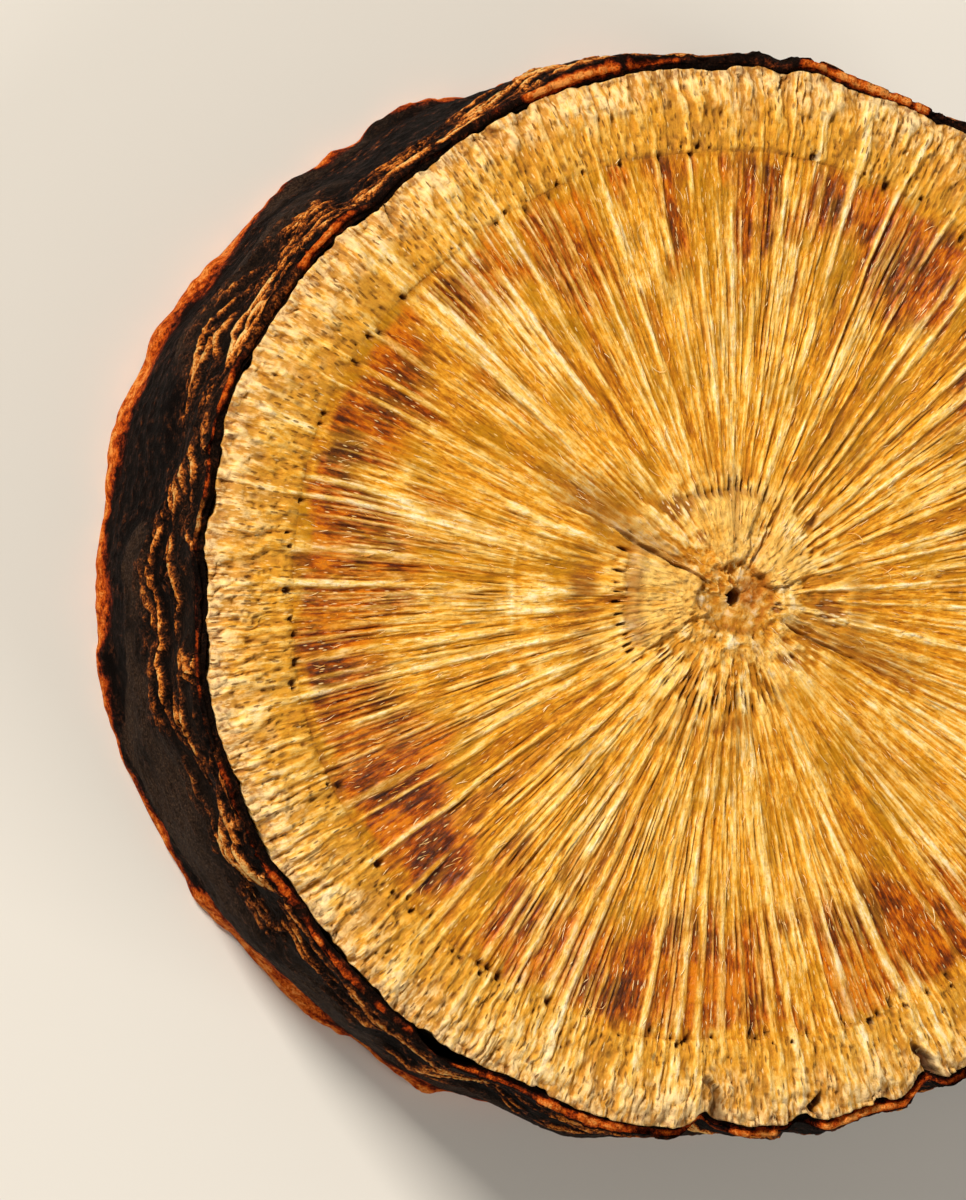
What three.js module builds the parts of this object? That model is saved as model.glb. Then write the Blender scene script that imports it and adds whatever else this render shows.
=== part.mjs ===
// A slice cut straight across a thick, dried licorice root: fibrous wood whose rays run out from the pith,
// and the wrinkled corky bark that grew round it. Millimetres, +Z up. The slice lies on its lower cut face.
// The surface is worked out in rings round the pith, and then moved so that the origin is under its middle.
import * as THREE from "three";

// Driving dimensions.
const THICKNESS = 6.0; // from one cut face to the other
// How far the bark reaches from the pith, every 10 degrees anticlockwise from +X, at the upper cut and at the
// lower one. Each line is a third of the turn.
const UPPER_RADII = [
  11.7, 11.75, 11.7, 11.6, 11.5, 11.4, 11.35, 11.3, 11.35, 11.25, 11.3, 11.35,
  11.4, 11.5, 11.75, 11.95, 12.05, 12.0, 11.95, 11.95, 11.9, 11.75, 11.65, 11.5,
  11.45, 11.35, 11.4, 11.3, 11.35, 11.45, 11.55, 11.65, 11.75, 11.8, 11.75, 11.7,
];
const LOWER_RADII = [
  11.6, 11.65, 11.75, 11.6, 11.4, 11.45, 11.3, 11.2, 11.25, 11.3, 11.25, 11.2,
  11.35, 11.4, 11.55, 11.8, 11.95, 11.85, 11.8, 11.85, 11.7, 11.5, 11.4, 11.2,
  11.15, 11.2, 11.2, 11.25, 11.3, 11.3, 11.45, 11.6, 11.6, 11.75, 11.65, 11.6,
];

// The wood.
const RAYS = 78; // pale rays that stand out of the cut face
const RAY_SHIFT = 0.7; // how far a ray may be off its even place, as a share of the space between two
const RAY_BEND = 0.0016; // how far a ray bends aside, in turns
const RAY_RISE = 0.07; // of a ray above the wood beside it, on each side of the cut's own level
const RAY_RISE_VARIES = { least: 0.6, spread: 0.8 };
const RAYS_COME_UP = { from: 0.12, to: 0.32 }; // shares of the way from the pith to the bark
const RAYS_SINK = { from: 0.88, to: 1.0, by: 0.75 }; // again in the soft outer tissue
const WAVE = 0.07; // slow rise and fall of the cut
const MEALY = { rise: 0.055, from: 0.1, to: 0.3 }; // the crumbly middle, which fades out between two shares
const RIM_DROP = { by: 0.22, from: 0.93, to: 1.03 }; // of the soft outer tissue, where the saw pulled it down
const RING_GROOVE = 0.1; // depth of the growth lines
const GROWTH_LINES = [0.213, 0.42, 0.838]; // as shares of the way from the pith to the bark
const LINE_WIDTH = 0.012;

// The pith, a small ragged hole in the middle. Its rim and its wall vary from point to point.
const PITH_DEPTH = 1.2;
const PITH_RADIUS = 0.3;
const PITH_RIM = { least: 0.8, spread: 0.5, sunk: 0.12, sunkSpread: 0.25 };
const PITH_WALL = { least: 0.45, spread: 0.2, depth: 0.7 };
const LOWER_PITH = { rim: 0.3, depth: 0.96 };

// Cracks that run out from the pith: direction in degrees, start and end as shares of the radius, and depth.
const CRACKS = [
  { toward: 153, from: 0.07, to: 0.42, depth: 0.45 },
  { toward: 59, from: 0.09, to: 0.3, depth: 0.3 },
  { toward: 334, from: 0.09, to: 0.45, depth: 0.4 },
  { toward: 11, from: 0.07, to: 0.16, depth: 0.3 },
];
const CRACK_HALF_ANGLE = 2.2;
const CRACK_TAPER = { start: 0.04, end: 0.06 };

// The bark.
const CORK = 0.26; // thickness of the bark at the cut
const CREVICE = { depth: 0.08, inside: 0.05 }; // the line between bark and wood
const CREST = { inside: 0.55 * CORK, sunk: 0.12 };
const PEEL = { toward: 236, half: 6, depth: 0.95, out: 0.075 }; // where the dried bark has come away
// Nicks in the outline: direction and half width in degrees, and depth.
const NICKS = [
  { toward: 84, half: 1.6, depth: 0.2 },
  { toward: 135, half: 2.0, depth: 0.3 },
  { toward: 267, half: 2.2, depth: 0.5 },
  { toward: 279, half: 1.8, depth: 0.35 },
  { toward: 294, half: 2.2, depth: 0.45 },
  { toward: 22, half: 2.0, depth: 0.35 },
];
const NICK_IN_WOOD = 0.8; // how far a nick goes on into the wood, as a share of its depth in the bark
const WRINKLES = { count: 34, rows: 1.5, depth: 0.2, atTheCuts: 0.35 }; // furrows round the bark
const WRINKLE_DRIFT = { by: 0.01, count: 18, rows: 3 };
const FOLDS = { count: 20, rows: 4.5, depth: 0.2 }; // cross folds between the two cuts
const FOLD_DRIFT = { by: 0.6, count: 12 };
const SWELL = 0.62; // how far from mid height the folds reach, as a share of the thickness
const CORK_LUMPS = 40;
const LOWER_LIP = 0.2; // height of the rounded edge of the bark at the lower cut

// The lower cut: a shallower relief, which stays clear of what the slice lies on, and a flat land near the
// bark.
const LOWER_RELIEF = 0.5;
const LOWER_CLEARANCE = { mean: 0.08, least: 0.02, edge: 0.06 };

// Seeds of the random draws.
const SEED = {
  wrinkle: 1, fold: 2, foldDrift: 3, wrinkleDrift: 5, place: 7, bend: 9,
  rise: 11, wave: 13, mealy: 15, pith: 17, cork: 21,
};

// Rings of points on each cut face, as shares of the radius, with how many points each ring has.
const INNER_RINGS = [0.05, 0.085, 0.125, 0.165];
const OUTER_RINGS = [0.2, 0.213, 0.235, 0.3, 0.37, 0.42, 0.5, 0.6, 0.7, 0.79, 0.838, 0.875, 0.925, 0.965];
const LOWER_RINGS = [0.95, 0.88, 0.838, 0.7, 0.5, 0.3];
const FLAT_RINGS = [0.95, 0.88]; // the land of the lower face that lies on the table
const LOWER_INNER_RINGS = [0.15, 0.06];
const WALL_LEVELS = [0.93, 0.82, 0.7, 0.58, 0.45, 0.32, 0.18]; // heights of the rings round the bark, as shares
const COLUMNS = 2 * RAYS;
const INNER_COLUMNS = COLUMNS / 2;
const PITH_COLUMNS = INNER_COLUMNS / 3;

const DRY_WOOD = { color: 0xd9a94f, roughness: 0.75, metalness: 0 };

const TURN = 2 * Math.PI;

// A repeatable draw between 0 and 1 for a pair of whole numbers.
function draw(i, j, seed) {
  const s = Math.sin(i * 127.1 + j * 311.7 + seed * 74.7) * 43758.5453;
  return s - Math.floor(s);
}

// Smooth noise between -1 and 1 that closes on itself round the slice, with `cells` lumps in the turn.
function lumps(turn, rise, cells, seed) {
  const x = (turn - Math.floor(turn)) * cells;
  const i = Math.floor(x);
  const j = Math.floor(rise);
  const ease = (t) => t * t * (3 - 2 * t);
  const u = ease(x - i);
  const v = ease(rise - j);
  const at = (a, b) => draw((i + a) % cells, j + b, seed);
  const low = at(0, 0) * (1 - u) + at(1, 0) * u;
  const high = at(0, 1) * (1 - u) + at(1, 1) * u;
  return 2 * (low * (1 - v) + high * v) - 1;
}

// Noise folded into a sharp crest, 1 at its top.
const crest = (noise) => 1 - 2 * Math.abs(noise);

// A smooth hump, 1 where `gap` is 0 and 0 from `half` on.
function hump(gap, half) {
  const t = Math.min(1, Math.abs(gap) / half);
  return 1 - t * t * (3 - 2 * t);
}

function step(low, high, value) {
  const t = Math.min(1, Math.max(0, (value - low) / (high - low)));
  return t * t * (3 - 2 * t);
}

function degreesApart(turn, toward) {
  const gap = turn * 360 - toward;
  return gap - 360 * Math.round(gap / 360);
}

// The smooth closed curve through the listed radii.
function radiusAt(radii, turn) {
  const x = (turn - Math.floor(turn)) * radii.length;
  const i = Math.floor(x);
  const t = x - i;
  const [a, b, c, d] = [-1, 0, 1, 2].map((k) => radii[(i + k + radii.length) % radii.length]);
  return b + 0.5 * t * (c - a + t * (2 * a - 5 * b + 4 * c - d + t * (3 * (b - c) + d - a)));
}

const nicks = (turn) => NICKS.reduce((sum, n) => sum + n.depth * hump(degreesApart(turn, n.toward), n.half), 0);

// How far the bark reaches in a direction, at a height from 0 at the lower cut to 1 at the upper one.
function barkRadius(turn, height) {
  const plain = radiusAt(LOWER_RADII, turn) * (1 - height) + radiusAt(UPPER_RADII, turn) * height;
  const drift = lumps(turn, height * WRINKLE_DRIFT.rows, WRINKLE_DRIFT.count, SEED.wrinkleDrift);
  const aside = turn + WRINKLE_DRIFT.by * drift;
  const up = FOLD_DRIFT.by * lumps(turn, 0, FOLD_DRIFT.count, SEED.foldDrift);
  const wrinkle = crest(lumps(aside, height * WRINKLES.rows, WRINKLES.count, SEED.wrinkle));
  const fold = crest(lumps(turn, height * FOLDS.rows + up, FOLDS.count, SEED.fold));
  const inside = hump(height - 0.5, SWELL);
  const wrinkled = WRINKLES.depth * wrinkle * (WRINKLES.atTheCuts + (1 - WRINKLES.atTheCuts) * inside);
  return plain + wrinkled + FOLDS.depth * fold * inside - nicks(turn) * step(0, 1, height);
}

// The direction of each column of points: even ones run along the crest of a ray, odd ones between two rays.
function columnTurn(column) {
  const rayTurn = (i) => (i + 0.5 + RAY_SHIFT * (draw((i + RAYS) % RAYS, 0, SEED.place) - 0.5)) / RAYS;
  const ray = Math.floor(column / 2);
  return column % 2 === 0 ? rayTurn(ray) : (rayTurn(ray) + rayTurn(ray + 1)) / 2;
}

// Rays bend a little from side to side as they run out.
const bent = (turn, share) => turn + RAY_BEND * lumps(turn, share * 3, 24, SEED.bend);

// Relief of a cut face, as a height above its level.
function relief(turn, share, column) {
  const ray = Math.floor(column / 2);
  const side = column % 2 === 0 ? 1 : -1;
  const sunk = 1 - RAYS_SINK.by * step(RAYS_SINK.from, RAYS_SINK.to, share);
  const strength = step(RAYS_COME_UP.from, RAYS_COME_UP.to, share) * sunk;
  const varied = RAY_RISE_VARIES.least + RAY_RISE_VARIES.spread * draw(ray, column % 2, SEED.rise);
  let height = side * RAY_RISE * strength * varied;
  height += WAVE * lumps(turn, share * 4, 9, SEED.wave);
  height += MEALY.rise * lumps(turn, share * 9, 14, SEED.mealy) * (1 - step(MEALY.from, MEALY.to, share));
  for (const line of GROWTH_LINES) height -= RING_GROOVE * hump(share - line, LINE_WIDTH);
  return height;
}

function crackDepth(turn, share) {
  return CRACKS.reduce((sum, crack) => {
    const across = hump(degreesApart(turn, crack.toward), CRACK_HALF_ANGLE);
    const starts = step(crack.from - CRACK_TAPER.start, crack.from, share);
    const goesOn = 1 - step(crack.to - CRACK_TAPER.end, crack.to, share);
    return sum + crack.depth * across * starts * goesOn;
  }, 0);
}

// One closed surface, built ring by ring from the middle of the upper face to the middle of the lower one.
const points = [];
const triangles = [];

function addPoint(turn, radius, z) {
  points.push(radius * Math.cos(turn * TURN), radius * Math.sin(turn * TURN), z);
  return points.length / 3 - 1;
}

// A ring of points; place gives the radius and the height for a direction and a column of the full ring.
function ring(columns, place) {
  const skip = COLUMNS / columns;
  return Array.from({ length: columns }, (_, i) => {
    const column = i * skip;
    const { turn, radius, z } = place(columnTurn(column), column);
    return addPoint(turn, radius, z);
  });
}

// Joins two rings. One may have a whole number of times as many points as the other.
function join(above, below) {
  if (above.length > below.length) {
    stitch(below, above, (a, b, c) => triangles.push(a, c, b));
    return;
  }
  stitch(above, below, (a, b, c) => triangles.push(a, b, c));
}

function stitch(few, many, add) {
  const times = many.length / few.length;
  const turnAt = Math.ceil(times / 2);
  few.forEach((here, i) => {
    const next = few[(i + 1) % few.length];
    const beside = (k) => many[(i * times + k) % many.length];
    for (let k = 0; k < times; k++) {
      if (k === turnAt) add(here, beside(k), next);
      add(k < turnAt ? here : next, beside(k), beside(k + 1));
    }
    if (turnAt === times) add(here, beside(times), next);
  });
}

function joinAll(rings) {
  rings.slice(1).forEach((below, i) => join(rings[i], below));
}

// The middle of a face, closed by a fan. The fan's faces point the way that `up` says.
function closeMiddle(first, z, up) {
  const middle = addPoint(0, 0, z);
  first.forEach((here, i) => {
    const next = first[(i + 1) % first.length];
    triangles.push(...(up ? [middle, here, next] : [middle, next, here]));
  });
}

function upperFace() {
  const woodEdge = (turn) => radiusAt(UPPER_RADII, turn) - NICK_IN_WOOD * nicks(turn) - CORK;
  const place = (share) => (turn, column) => {
    const bend = bent(turn, share);
    const rimDrop = RIM_DROP.by * step(RIM_DROP.from, RIM_DROP.to, share);
    const z = THICKNESS + relief(turn, share, column) - crackDepth(turn, share) - rimDrop;
    return { turn: bend, radius: share * woodEdge(bend), z };
  };
  const pithRim = ring(PITH_COLUMNS, (turn, column) => ({
    turn,
    radius: PITH_RADIUS * (PITH_RIM.least + PITH_RIM.spread * draw(column, 1, SEED.pith)),
    z: THICKNESS - PITH_RIM.sunk - PITH_RIM.sunkSpread * draw(column, 2, SEED.pith),
  }));
  const pithWall = ring(PITH_COLUMNS, (turn, column) => ({
    turn,
    radius: PITH_RADIUS * (PITH_WALL.least + PITH_WALL.spread * draw(column, 3, SEED.pith)),
    z: THICKNESS - PITH_WALL.depth * PITH_DEPTH,
  }));
  closeMiddle(pithWall, THICKNESS - PITH_DEPTH, true);
  return [
    pithWall,
    pithRim,
    ...INNER_RINGS.map((share) => ring(INNER_COLUMNS, place(share))),
    ...OUTER_RINGS.map((share) => ring(COLUMNS, place(share))),
  ];
}

// The cut edge of the bark: the line beside the wood, the cork's crest, and then down the outside.
function bark() {
  const peeled = (turn) => hump(degreesApart(turn, PEEL.toward), PEEL.half);
  const crevice = ring(COLUMNS, (turn) => ({
    turn,
    radius: barkRadius(turn, 1) - CORK - CREVICE.inside,
    z: THICKNESS - RIM_DROP.by - CREVICE.depth - PEEL.depth * peeled(turn),
  }));
  const corkCrest = ring(COLUMNS, (turn) => ({
    turn,
    radius: barkRadius(turn, 1) - CREST.inside + PEEL.out * peeled(turn),
    z: THICKNESS - CREST.sunk + WAVE * lumps(turn, 7, CORK_LUMPS, SEED.cork),
  }));
  const edge = ring(COLUMNS, (turn) => ({ turn, radius: barkRadius(turn, 1), z: THICKNESS - RIM_DROP.by }));
  const walls = WALL_LEVELS.map((height) =>
    ring(COLUMNS, (turn) => ({ turn, radius: barkRadius(turn, height), z: height * THICKNESS })),
  );
  const lip = ring(COLUMNS, (turn) => ({ turn, radius: barkRadius(turn, 0), z: LOWER_LIP }));
  return [crevice, corkCrest, edge, ...walls, lip];
}

function lowerFace() {
  const woodEdge = (turn) => radiusAt(LOWER_RADII, turn) - CORK;
  const place = (share) => (turn, column) => {
    const clear = LOWER_CLEARANCE.mean - LOWER_RELIEF * relief(turn, share, column);
    const z = FLAT_RINGS.includes(share) ? 0 : Math.max(LOWER_CLEARANCE.least, clear);
    return { turn: bent(turn, share), radius: share * woodEdge(turn), z };
  };
  const edge = ring(COLUMNS, (turn) => ({ turn, radius: woodEdge(turn), z: LOWER_CLEARANCE.edge }));
  const rings = [
    edge,
    ...LOWER_RINGS.map((share) => ring(COLUMNS, place(share))),
    ...LOWER_INNER_RINGS.map((share) => ring(INNER_COLUMNS, place(share))),
    ring(PITH_COLUMNS, (turn) => ({ turn, radius: PITH_RADIUS, z: LOWER_PITH.rim })),
  ];
  closeMiddle(rings.at(-1), LOWER_PITH.depth, false);
  return rings;
}

function rootSlice() {
  joinAll([...upperFace(), ...bark(), ...lowerFace()]);
  const geometry = new THREE.BufferGeometry();
  geometry.setAttribute("position", new THREE.Float32BufferAttribute(points, 3));
  geometry.setIndex(triangles);
  geometry.computeBoundingBox();
  const middle = geometry.boundingBox.getCenter(new THREE.Vector3());
  geometry.translate(-middle.x, -middle.y, 0);
  geometry.computeVertexNormals();
  const mesh = new THREE.Mesh(geometry, new THREE.MeshStandardMaterial(DRY_WOOD));
  mesh.name = "root_slice";
  return mesh;
}

const part = new THREE.Group();
part.add(rootSlice());

export default part;
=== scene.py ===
import bpy
import numpy as np
from mathutils import Matrix, Vector, noise
from mathutils.bvhtree import BVHTree


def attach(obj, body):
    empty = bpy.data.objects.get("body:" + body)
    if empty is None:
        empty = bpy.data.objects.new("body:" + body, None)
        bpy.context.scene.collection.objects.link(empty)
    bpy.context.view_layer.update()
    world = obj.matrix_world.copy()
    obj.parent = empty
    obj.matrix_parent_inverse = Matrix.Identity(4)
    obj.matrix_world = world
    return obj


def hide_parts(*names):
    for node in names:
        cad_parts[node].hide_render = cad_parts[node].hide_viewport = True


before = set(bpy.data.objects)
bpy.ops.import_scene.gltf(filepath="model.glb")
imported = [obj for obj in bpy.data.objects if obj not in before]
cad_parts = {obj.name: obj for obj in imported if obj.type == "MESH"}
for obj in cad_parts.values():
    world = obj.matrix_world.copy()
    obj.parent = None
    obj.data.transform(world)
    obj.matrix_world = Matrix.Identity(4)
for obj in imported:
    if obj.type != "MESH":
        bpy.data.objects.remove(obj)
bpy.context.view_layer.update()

# The slice as a whole
# A licorice root is a woody underground stem. This slice was sawn straight across it, 6 mm thick and 24 mm
# over the bark, and dried. Everything is laid out round its pith: a turn is the way round, as a share of the
# whole way, and a reach is the way out from the pith, as a share of the way to the bark.
MM = 0.001
TURN = 2 * np.pi
TOP = 6.0  # level of the upper cut, in millimetres, as everything is until a mesh is made
CORK = 0.26  # thickness of the bark at the cut
PITH_ROOM = 3.0  # the hole of the pith lies no further than this from the middle
UPPER_LEVEL = TOP - 0.3  # where the outline is felt near the upper cut, and near the lower one
LOWER_LEVEL = 0.25
OUTSIDE = 20  # well outside the bark, where feeling for it starts

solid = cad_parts["root_slice"]
corners = np.array([v.co for v in solid.data.vertices]) / MM
near_middle = np.hypot(corners[:, 0], corners[:, 1]) < PITH_ROOM
upper = corners[near_middle & (corners[:, 2] > TOP / 2)]
PITH = upper[upper[:, 2].argmin()] * (1, 1, 0)  # the floor of the small hole in the middle
hull = BVHTree.FromObject(solid, bpy.context.evaluated_depsgraph_get())


def reach_of_solid(turn, level):
    """How far the whole slice reaches from its pith in a direction, at one level."""
    out = []
    for t in turn:
        way = Vector((np.cos(t * TURN), np.sin(t * TURN), 0))
        centre = Vector(PITH * MM) + Vector((0, 0, level * MM))
        hit = hull.ray_cast(centre + OUTSIDE * MM * way, -way)[0]
        out.append((hit - centre).length / MM)
    return np.array(out)


SPOTS = np.arange(720) / 720
UPPER_REACH = reach_of_solid(SPOTS, UPPER_LEVEL)
LOWER_REACH = reach_of_solid(SPOTS, LOWER_LEVEL)


def evened(reach, spread):
    """An outline without its small bumps, evened out over so many degrees."""
    near = np.exp(-0.5 * (np.minimum(SPOTS, 1 - SPOTS) * 360 / spread) ** 2)
    return np.fft.irfft(np.fft.rfft(reach) * np.fft.rfft(near / near.sum()), len(reach))


OUTLINE = evened(UPPER_REACH, spread=5.0) - CORK  # how far the bast reaches, without its bumps and with them
ROUGH_OUTLINE = evened(UPPER_REACH, spread=0.6) - CORK

# The cut face of the wood
# Pale rays of soft cells run out from the pith through the yellow wood, which is glassy and amber where resin
# has filled it. The dried cut is torn: the rays stand up, the wood between them has sunk, and cracks start at
# the pith. The same grain runs on through the bast, so both are worked out here.
RAYS = 78
RAY_RISE = 0.035
WAVE = 0.07  # how far the whole cut swells and sinks
AMBER_DROP = 0.03
PLATE_RISE = 0.13
FLUFF_RISE = 0.09
EDGE_DROP = 0.2
PORE_DEPTH = 0.15
SLIT_DEPTH = 0.05
PITH_DEPTH = 1.2
CAMBIUM = 0.838  # where the wood ends and the bast begins, as a reach
HEART = (0.20, 0.34)  # the torn middle ends between these reaches, and its mealy core between the next two
MEAL = (0.10, 0.17)
RESIN_AT, RESIN_SIZE = (0.34, 0.12), 0.52  # a stain of resin beside the pith, in millimetres
LAND = (0.84, 0.99)  # the lower cut rests on the floor between these reaches, and is clear of it inside
CLEARANCE = 0.14
CRACKS = [  # toward, from, to, depth, half width
    (153, 0.05, 0.40, 0.22, 0.075),
    (59, 0.075, 0.27, 0.13, 0.095),
    (334, 0.12, 0.43, 0.20, 0.055),
    (11, 0.095, 0.17, 0.22, 0.04),
    (101, 0.43, 0.52, 0.16, 0.026),
    (131, 0.20, 0.31, 0.18, 0.05),
    (206, 0.24, 0.33, 0.14, 0.03),
    (287, 0.15, 0.30, 0.16, 0.035),
    (84, 0.972, 1.25, 0.30, 0.05),
    (134, 0.965, 1.25, 0.34, 0.06),
    (267, 0.935, 1.25, 0.42, 0.15),
    (279, 0.955, 1.25, 0.38, 0.09),
    (294, 0.935, 1.25, 0.42, 0.13),
    (22, 0.968, 1.25, 0.34, 0.06),
]
TEARS = [  # where the saw tore the middle open: toward, reach, half length, half width in degrees
    (124, 0.200, 0.036, 9.0),
    (121, 0.128, 0.018, 6.0),
    (314, 0.150, 0.036, 8.0),
    (352, 0.205, 0.040, 8.0),
    (347, 0.088, 0.014, 10.0),
    (218, 0.172, 0.020, 6.0),
    (40, 0.215, 0.016, 5.0),
]
LEDGES = [  # toward, from, to, depth, how far round it runs out, in degrees
    (153, 0.10, 0.46, 0.17, 17),
    (59, 0.09, 0.22, 0.10, 12),
    (334, 0.12, 0.48, 0.15, -13),
]
PORE_ROWS = [  # so many places round the pith, reach, size, seed, share of the places that has one
    (200, CAMBIUM, 0.090, 73, 0.45),
    (210, CAMBIUM + 0.004, 0.055, 75, 0.5),
    (74, 0.222, 0.066, 74, 0.90),
]
PLATES = [  # firm wood in the middle: toward, half, to, how sharply it breaks off there
    (178, 29, 0.200, 1.0),
    (35, 21, 0.150, 0.2),
    (97, 24, 0.196, 0.7),
]
CELLS = 1000  # a square grid of so many cells over the face, for what has no grain


def around(outline, turn):
    """How far an outline reaches in a direction."""
    return np.interp(turn, SPOTS, outline, period=1)


def from_pith(radius, turn):
    """Where a point lies that is so many millimetres from the pith, in one direction."""
    return PITH[0] + radius * np.cos(turn * TURN), PITH[1] + radius * np.sin(turn * TURN)


def draw(i, j, seed):
    """A repeatable draw between 0 and 1 for a pair of whole numbers."""
    s = np.sin(i * 127.1 + j * 311.7 + seed * 74.7) * 43758.5453
    return s - np.floor(s)


def lumps(turn, rise, cells, seed):
    """Smooth noise between -1 and 1 that closes on itself, with so many lumps in the turn."""
    x = (turn - np.floor(turn)) * cells
    i, j = np.floor(x), np.floor(rise)
    u, v = x - i, rise - j
    u, v = u * u * (3 - 2 * u), v * v * (3 - 2 * v)
    low = draw(i % cells, j, seed) * (1 - u) + draw((i + 1) % cells, j, seed) * u
    high = draw(i % cells, j + 1, seed) * (1 - u) + draw((i + 1) % cells, j + 1, seed) * u
    return 2 * (low * (1 - v) + high * v) - 1


def strands(turn, reach, cells, along, seed):
    """Noise between -1 and 1, drawn out along the grain. Each strand changes at places of its own."""
    x = (turn - np.floor(turn)) * cells
    i = np.floor(x)
    u = x - i
    u = u * u * (3 - 2 * u)
    value = 0
    for k, share in ((i % cells, 1 - u), ((i + 1) % cells, u)):
        rise = reach * along + 50 * draw(k, 0, seed)
        j = np.floor(rise)
        v = rise - j
        v = v * v * (3 - 2 * v)
        value = value + share * (draw(k, j, seed + 0.5) * (1 - v) + draw(k, j + 1, seed + 0.5) * v)
    return 2 * value - 1


def step(low, high, value):
    """0 up to the low value, 1 from the high one, and a smooth slope between them."""
    t = np.clip((value - low) / (high - low), 0, 1)
    return t * t * (3 - 2 * t)


def hump(gap, half):
    """1 where the gap is nothing, sinking to 0 at half the width of the hump."""
    return 1 - step(0, 1, np.abs(gap) / half)


def degrees_apart(turn, toward):
    """How far a turn is from a direction in degrees, between -180 and 180."""
    gap = turn * 360 - toward
    return gap - 360 * np.round(gap / 360)


def radius_at(turn, reach):
    """Millimetres from the pith. Only the outermost tissue follows the bark's small bumps, and it is torn."""
    smooth, rough = around(OUTLINE, turn), around(ROUGH_OUTLINE, turn)
    jag = 0.02 * lumps(turn, 0, 520, 119) + 0.02 + 0.07 * step(0.1, 0.7, lumps(turn, 0, 150, 120))
    return reach * (smooth + (rough - smooth) * step(0.8, 0.98, reach)) - jag * step(0.97, 1.0, reach)


def bent(turn, reach):
    """Rays bend a little from side to side as they run out."""
    loose = 0.0010 * lumps(turn, reach * 26, 150, 19) * step(0.84, 0.9, reach)
    return turn + 0.0016 * lumps(turn, reach * 3, 24, 9) + 0.0007 * lumps(turn, reach * 7, 40, 10) + loose


def rays(turn, reach, count, seed, jitter, half_width, start, spread):
    """Height of the nearest of a set of rays: 1 along its crest, 0 between two rays."""
    best = np.zeros(np.broadcast(turn, reach).shape)
    for k in (-1, 0, 1):
        i = (np.floor(turn * count) + k) % count
        crest = (np.floor(turn * count) + k + 0.5 + jitter * (draw(i, 0, seed) - 0.5)) / count
        sway = 0.022 * lumps(i / count, reach * 13 + 9 * draw(i, 5, seed), count, seed + 1)
        gap = np.abs((turn - crest) * TURN * radius_at(turn, reach) - sway * step(0.15, 0.4, reach))
        width = half_width * (0.6 + 0.8 * draw(i, 1, seed)) * (0.55 + 0.6 * reach)
        width = width * (1 + 0.4 * lumps(i / count, reach * 17 + 5 * draw(i, 2, seed), count, seed + 2))
        begins = start + spread * draw(i, 3, seed)
        here = (0.6 + 0.4 * draw(i, 4, seed)) * step(begins - 0.05, begins + 0.03, reach)
        breaks = 10 if count == RAYS else 28  # the main rays break off less often than the thin ones
        broken = lumps(i / count, reach * breaks, count, seed + 3)
        here = here * (1 - 0.6 * step(0.2, 0.7, broken))
        best = np.maximum(best, here * (1 - step(0.6, 1.25, gap / width)))
    return best


def spots(across, along, cells, seed, share, wide, long):
    """Rounded marks, at most one in each cell of a grid that closes on itself: 1 inside a mark, 0 outside."""
    best = np.zeros(np.broadcast(across, along).shape)
    for k in range(9):
        i, j = np.floor(across) + k // 3 - 1, np.floor(along) + k % 3 - 1
        cell = i % cells
        x = across - (i + 0.2 + 0.6 * draw(cell, j, seed))
        y = along - (j + 0.2 + 0.6 * draw(cell, j, seed + 1))
        size = 0.55 + 0.9 * draw(cell, j, seed + 2)
        there = draw(cell, j, seed + 3) < share
        best = np.maximum(best, there * (1 - step(0.6, 1.15, np.hypot(x / (wide * size), y / (long * size)))))
    return best


def cracked(turn, reach, radius):
    """How deep the cracks go at each place."""
    deepest = np.zeros(radius.shape)
    for toward, start, end, depth, half in CRACKS:
        place = np.full(np.shape(reach), toward / 360)
        drift = 1.6 * lumps(place, reach * 14, 90, 85) + 0.9 * lumps(place, reach * 55, 90, 86)
        across = np.abs(degrees_apart(turn, toward + drift)) / 360 * TURN * radius
        taper = step(start - 0.02, start + 0.01, reach) * (1 - step(end - 0.22, end, reach))
        wide = half * (0.25 + 0.75 * taper) * (1 + 0.7 * lumps(place, reach * 40, 90, 89))
        broken = 0.65 + 0.35 * lumps(place, reach * 26 + 3, 90, 116)
        deepest = np.maximum(deepest, depth * taper * broken * (1 - step(0.2, 1.0, across / wide)))
    return deepest


def ledges(turn, reach):
    """Where the wood has slid down along a crack: deepest just beside it, on one side."""
    drop = np.zeros(np.broadcast(turn, reach).shape)
    for toward, start, end, depth, spread in LEDGES:
        place = np.full(np.shape(reach), toward / 360)
        edge = toward + 1.6 * lumps(place, reach * 14, 90, 85) + 0.9 * lumps(place, reach * 55, 90, 86)
        gap = -degrees_apart(turn, edge) * np.sign(spread)
        side = step(-0.8, 0.3, gap) * (1 - step(0.2, 1.0, gap / abs(spread)))
        here = step(start - 0.03, start + 0.02, reach) * (1 - step(end - 0.15, end, reach))
        drop = np.maximum(drop, depth * side * here)
    return drop


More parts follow.
